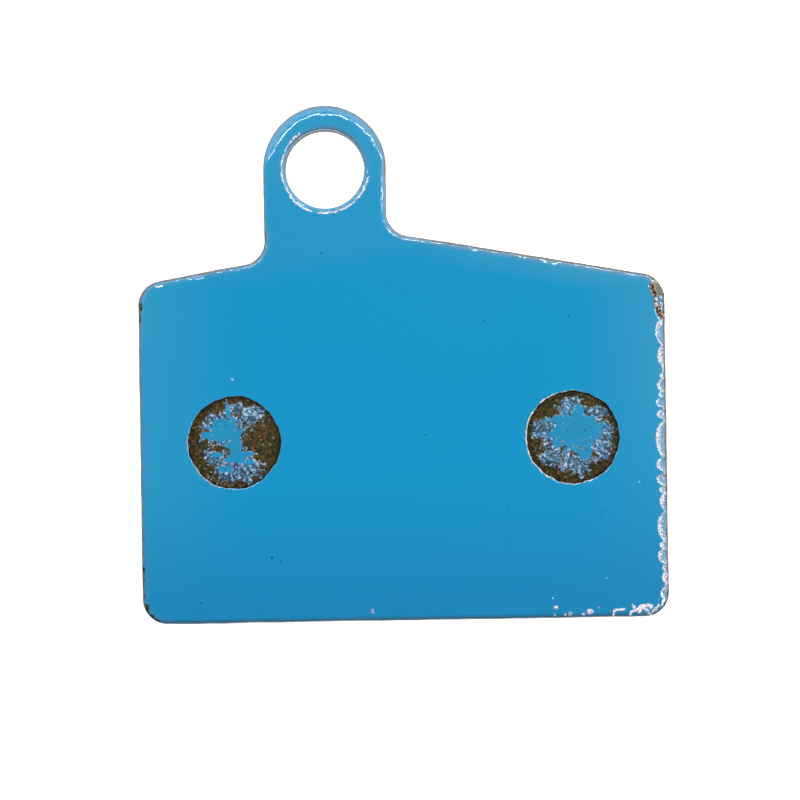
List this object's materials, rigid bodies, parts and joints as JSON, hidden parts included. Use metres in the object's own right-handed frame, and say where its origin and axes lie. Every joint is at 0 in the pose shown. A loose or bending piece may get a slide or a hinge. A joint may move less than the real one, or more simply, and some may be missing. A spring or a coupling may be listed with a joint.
{
  "type": "disc brake pad",
  "caption": "Bicycle disc brake pad: a blue coated steel backing plate with an offset eyelet tab for the retaining pin, carrying a moulded friction block keyed through holes in the plate.",
  "frame": {"origin": "middle of the friction face across the pad, below the line that joins the two keying holes", "axes": "+X across the pad to the side away from the tab, +Y up the pad towards the tab, +Z out of the coated back of the plate, so that the pad lies on its friction face"},
  "size_m": [0.03, 0.0294, 0.004],
  "materials": {
    "coated_steel": "gloss",
    "friction_compound": "matte"
  },
  "bodies": {
    "root": {"backing_plate": "coated_steel", "friction_pad": "friction_compound"}
  },
  "joints": []
}
